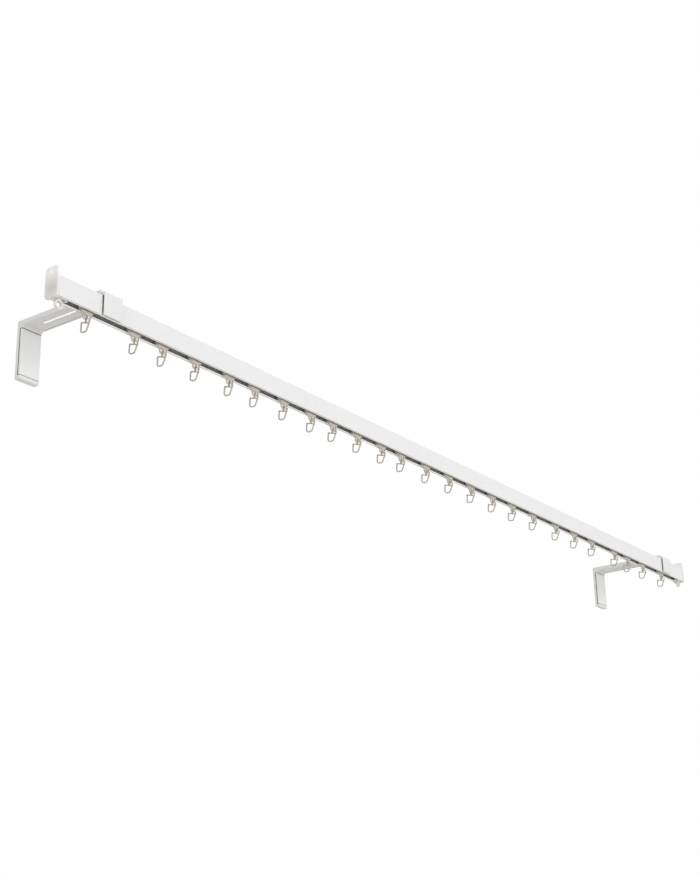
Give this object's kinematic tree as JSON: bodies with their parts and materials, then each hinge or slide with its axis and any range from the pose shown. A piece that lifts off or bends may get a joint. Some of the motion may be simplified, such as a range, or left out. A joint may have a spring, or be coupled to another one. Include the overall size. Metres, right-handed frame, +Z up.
{
  "type": "curtain track",
  "caption": "White slotted curtain track on two angled wall brackets, with end stops, sliding gliders and swinging curtain hooks.",
  "frame": {"origin": "centre of the four wall screw holes, in the plane of the wall", "axes": "+X along the rail, +Y into the wall, +Z up"},
  "size_m": [1.4068, 0.1276, 0.0697],
  "materials": {
    "white_coated_aluminium": "satin white powder coat",
    "white_plastic": "smooth moulded",
    "natural_plastic": "natural translucent nylon",
    "cap_plastic": "off-white translucent",
    "zinc_steel": "bright zinc plating"
  },
  "bodies": {
    "track": {"rail": "white_coated_aluminium", "end_cap_left": "cap_plastic", "end_cap_right": "cap_plastic", "wall_bracket_left": "white_plastic", "wall_bracket_right": "white_plastic", "cover_plate_left": "white_plastic", "cover_plate_right": "white_plastic", "rail_clip_left": "white_plastic", "rail_clip_right": "white_plastic", "clip_screws": "zinc_steel"},
    "glider_01": {"glider_01": "natural_plastic"},
    "hook_01": {"hook_01": "natural_plastic"},
    "glider_02": {"glider_02": "natural_plastic"},
    "hook_02": {"hook_02": "natural_plastic"},
    "glider_03": {"glider_03": "natural_plastic"},
    "hook_03": {"hook_03": "natural_plastic"},
    "glider_04": {"glider_04": "natural_plastic"},
    "hook_04": {"hook_04": "natural_plastic"},
    "glider_05": {"glider_05": "natural_plastic"},
    "hook_05": {"hook_05": "natural_plastic"},
    "glider_06": {"glider_06": "natural_plastic"},
    "hook_06": {"hook_06": "natural_plastic"},
    "glider_07": {"glider_07": "natural_plastic"},
    "hook_07": {"hook_07": "natural_plastic"},
    "glider_08": {"glider_08": "natural_plastic"},
    "hook_08": {"hook_08": "natural_plastic"},
    "glider_09": {"glider_09": "natural_plastic"},
    "hook_09": {"hook_09": "natural_plastic"},
    "glider_10": {"glider_10": "natural_plastic"},
    "hook_10": {"hook_10": "natural_plastic"},
    "glider_11": {"glider_11": "natural_plastic"},
    "hook_11": {"hook_11": "natural_plastic"},
    "glider_12": {"glider_12": "natural_plastic"},
    "hook_12": {"hook_12": "natural_plastic"},
    "glider_13": {"glider_13": "natural_plastic"},
    "hook_13": {"hook_13": "natural_plastic"},
    "glider_14": {"glider_14": "natural_plastic"},
    "hook_14": {"hook_14": "natural_plastic"},
    "glider_15": {"glider_15": "natural_plastic"},
    "hook_15": {"hook_15": "natural_plastic"},
    "glider_16": {"glider_16": "natural_plastic"},
    "hook_16": {"hook_16": "natural_plastic"},
    "glider_17": {"glider_17": "natural_plastic"},
    "hook_17": {"hook_17": "natural_plastic"},
    "glider_18": {"glider_18": "natural_plastic"},
    "hook_18": {"hook_18": "natural_plastic"},
    "glider_19": {"glider_19": "natural_plastic"},
    "hook_19": {"hook_19": "natural_plastic"},
    "glider_20": {"glider_20": "natural_plastic"},
    "hook_20": {"hook_20": "natural_plastic"},
    "glider_21": {"glider_21": "natural_plastic"},
    "hook_21": {"hook_21": "natural_plastic"},
    "glider_22": {"glider_22": "natural_plastic"},
    "hook_22": {"hook_22": "natural_plastic"},
    "glider_23": {"glider_23": "natural_plastic"},
    "hook_23": {"hook_23": "natural_plastic"},
    "glider_24": {"glider_24": "natural_plastic"},
    "hook_24": {"hook_24": "natural_plastic"},
    "glider_25": {"glider_25": "natural_plastic"},
    "hook_25": {"hook_25": "natural_plastic"}
  },
  "joints": [
    {"name": "glider_01_slide", "type": "slide", "parent": "track", "child": "glider_01", "axis": [1, 0, 0], "range_m": [-0.01795, 0.05014]},
    {"name": "hook_01_swing", "type": "hinge", "parent": "glider_01", "child": "hook_01", "pos_m": [-0.6589, -0.1178, 0.00045], "axis": [1, 0, 0], "range_deg": [-60, 60]},
    {"name": "glider_02_slide", "type": "slide", "parent": "track", "child": "glider_02", "axis": [1, 0, 0], "range_m": [-0.05014, 0.02382]},
    {"name": "hook_02_swing", "type": "hinge", "parent": "glider_02", "child": "hook_02", "pos_m": [-0.59086, -0.1178, 0.00045], "axis": [1, 0, 0], "range_deg": [-60, 60]},
    {"name": "glider_03_slide", "type": "slide", "parent": "track", "child": "glider_03", "axis": [1, 0, 0], "range_m": [-0.02382, 0.03334]},
    {"name": "hook_03_swing", "type": "hinge", "parent": "glider_03", "child": "hook_03", "pos_m": [-0.54914, -0.1178, 0.00045], "axis": [1, 0, 0], "range_deg": [-60, 60]},
    {"name": "glider_04_slide", "type": "slide", "parent": "track", "child": "glider_04", "axis": [1, 0, 0], "range_m": [-0.03334, 0.03726]},
    {"name": "hook_04_swing", "type": "hinge", "parent": "glider_04", "child": "hook_04", "pos_m": [-0.4979, -0.1178, 0.00045], "axis": [1, 0, 0], "range_deg": [-60, 60]},
    {"name": "glider_05_slide", "type": "slide", "parent": "track", "child": "glider_05", "axis": [1, 0, 0], "range_m": [-0.03726, 0.0255]},
    {"name": "hook_05_swing", "type": "hinge", "parent": "glider_05", "child": "hook_05", "pos_m": [-0.44274, -0.1178, 0.00045], "axis": [1, 0, 0], "range_deg": [-60, 60]},
    {"name": "glider_06_slide", "type": "slide", "parent": "track", "child": "glider_06", "axis": [1, 0, 0], "range_m": [-0.0255, 0.03376]},
    {"name": "hook_06_swing", "type": "hinge", "parent": "glider_06", "child": "hook_06", "pos_m": [-0.39934, -0.1178, 0.00045], "axis": [1, 0, 0], "range_deg": [-60, 60]},
    {"name": "glider_07_slide", "type": "slide", "parent": "track", "child": "glider_07", "axis": [1, 0, 0], "range_m": [-0.03376, 0.03334]},
    {"name": "hook_07_swing", "type": "hinge", "parent": "glider_07", "child": "hook_07", "pos_m": [-0.34768, -0.1178, 0.00045], "axis": [1, 0, 0], "range_deg": [-60, 60]},
    {"name": "glider_08_slide", "type": "slide", "parent": "track", "child": "glider_08", "axis": [1, 0, 0], "range_m": [-0.03334, 0.02368]},
    {"name": "hook_08_swing", "type": "hinge", "parent": "glider_08", "child": "hook_08", "pos_m": [-0.29644, -0.1178, 0.00045], "axis": [1, 0, 0], "range_deg": [-60, 60]},
    {"name": "glider_09_slide", "type": "slide", "parent": "track", "child": "glider_09", "axis": [1, 0, 0], "range_m": [-0.02368, 0.0318]},
    {"name": "hook_09_swing", "type": "hinge", "parent": "glider_09", "child": "hook_09", "pos_m": [-0.25486, -0.1178, 0.00045], "axis": [1, 0, 0], "range_deg": [-60, 60]},
    {"name": "glider_10_slide", "type": "slide", "parent": "track", "child": "glider_10", "axis": [1, 0, 0], "range_m": [-0.0318, 0.03292]},
    {"name": "hook_10_swing", "type": "hinge", "parent": "glider_10", "child": "hook_10", "pos_m": [-0.20516, -0.1178, 0.00045], "axis": [1, 0, 0], "range_deg": [-60, 60]},
    {"name": "glider_11_slide", "type": "slide", "parent": "track", "child": "glider_11", "axis": [1, 0, 0], "range_m": [-0.03292, 0.02438]},
    {"name": "hook_11_swing", "type": "hinge", "parent": "glider_11", "child": "hook_11", "pos_m": [-0.15434, -0.1178, 0.00045], "axis": [1, 0, 0], "range_deg": [-60, 60]},
    {"name": "glider_12_slide", "type": "slide", "parent": "track", "child": "glider_12", "axis": [1, 0, 0], "range_m": [-0.02438, 0.03852]},
    {"name": "hook_12_swing", "type": "hinge", "parent": "glider_12", "child": "hook_12", "pos_m": [-0.11206, -0.1178, 0.00045], "axis": [1, 0, 0], "range_deg": [-60, 60]},
    {"name": "glider_13_slide", "type": "slide", "parent": "track", "child": "glider_13", "axis": [1, 0, 0], "range_m": [-0.03852, 0.03614]},
    {"name": "hook_13_swing", "type": "hinge", "parent": "glider_13", "child": "hook_13", "pos_m": [-0.05564, -0.1178, 0.00045], "axis": [1, 0, 0], "range_deg": [-60, 60]},
    {"name": "glider_14_slide", "type": "slide", "parent": "track", "child": "glider_14", "axis": [1, 0, 0], "range_m": [-0.03614, 0.03614]},
    {"name": "hook_14_swing", "type": "hinge", "parent": "glider_14", "child": "hook_14", "pos_m": [-0.0016, -0.1178, 0.00045], "axis": [1, 0, 0], "range_deg": [-60, 60]},
    {"name": "glider_15_slide", "type": "slide", "parent": "track", "child": "glider_15", "axis": [1, 0, 0], "range_m": [-0.03614, 0.03628]},
    {"name": "hook_15_swing", "type": "hinge", "parent": "glider_15", "child": "hook_15", "pos_m": [0.05244, -0.1178, 0.00045], "axis": [1, 0, 0], "range_deg": [-60, 60]},
    {"name": "glider_16_slide", "type": "slide", "parent": "track", "child": "glider_16", "axis": [1, 0, 0], "range_m": [-0.03628, 0.03502]},
    {"name": "hook_16_swing", "type": "hinge", "parent": "glider_16", "child": "hook_16", "pos_m": [0.10662, -0.1178, 0.00045], "axis": [1, 0, 0], "range_deg": [-60, 60]},
    {"name": "glider_17_slide", "type": "slide", "parent": "track", "child": "glider_17", "axis": [1, 0, 0], "range_m": [-0.03502, 0.0395]},
    {"name": "hook_17_swing", "type": "hinge", "parent": "glider_17", "child": "hook_17", "pos_m": [0.15954, -0.1178, 0.00045], "axis": [1, 0, 0], "range_deg": [-60, 60]},
    {"name": "glider_18_slide", "type": "slide", "parent": "track", "child": "glider_18", "axis": [1, 0, 0], "range_m": [-0.0395, 0.04762]},
    {"name": "hook_18_swing", "type": "hinge", "parent": "glider_18", "child": "hook_18", "pos_m": [0.21694, -0.1178, 0.00045], "axis": [1, 0, 0], "range_deg": [-60, 60]},
    {"name": "glider_19_slide", "type": "slide", "parent": "track", "child": "glider_19", "axis": [1, 0, 0], "range_m": [-0.04762, 0.0374]},
    {"name": "hook_19_swing", "type": "hinge", "parent": "glider_19", "child": "hook_19", "pos_m": [0.28246, -0.1178, 0.00045], "axis": [1, 0, 0], "range_deg": [-60, 60]},
    {"name": "glider_20_slide", "type": "slide", "parent": "track", "child": "glider_20", "axis": [1, 0, 0], "range_m": [-0.0374, 0.03656]},
    {"name": "hook_20_swing", "type": "hinge", "parent": "glider_20", "child": "hook_20", "pos_m": [0.33776, -0.1178, 0.00045], "axis": [1, 0, 0], "range_deg": [-60, 60]},
    {"name": "glider_21_slide", "type": "slide", "parent": "track", "child": "glider_21", "axis": [1, 0, 0], "range_m": [-0.03656, 0.05574]},
    {"name": "hook_21_swing", "type": "hinge", "parent": "glider_21", "child": "hook_21", "pos_m": [0.39222, -0.1178, 0.00045], "axis": [1, 0, 0], "range_deg": [-60, 60]},
    {"name": "glider_22_slide", "type": "slide", "parent": "track", "child": "glider_22", "axis": [1, 0, 0], "range_m": [-0.05574, 0.02578]},
    {"name": "hook_22_swing", "type": "hinge", "parent": "glider_22", "child": "hook_22", "pos_m": [0.46586, -0.1178, 0.00045], "axis": [1, 0, 0], "range_deg": [-60, 60]},
    {"name": "glider_23_slide", "type": "slide", "parent": "track", "child": "glider_23", "axis": [1, 0, 0], "range_m": [-0.02578, 0.03474]},
    {"name": "hook_23_swing", "type": "hinge", "parent": "glider_23", "child": "hook_23", "pos_m": [0.50954, -0.1178, 0.00045], "axis": [1, 0, 0], "range_deg": [-60, 60]},
    {"name": "glider_24_slide", "type": "slide", "parent": "track", "child": "glider_24", "axis": [1, 0, 0], "range_m": [-0.03474, 0.0479]},
    {"name": "hook_24_swing", "type": "hinge", "parent": "glider_24", "child": "hook_24", "pos_m": [0.56218, -0.1178, 0.00045], "axis": [1, 0, 0], "range_deg": [-60, 60]},
    {"name": "glider_25_slide", "type": "slide", "parent": "track", "child": "glider_25", "axis": [1, 0, 0], "range_m": [-0.0479, 0.04287]},
    {"name": "hook_25_swing", "type": "hinge", "parent": "glider_25", "child": "hook_25", "pos_m": [0.62798, -0.1178, 0.00045], "axis": [1, 0, 0], "range_deg": [-60, 60]}
  ]
}
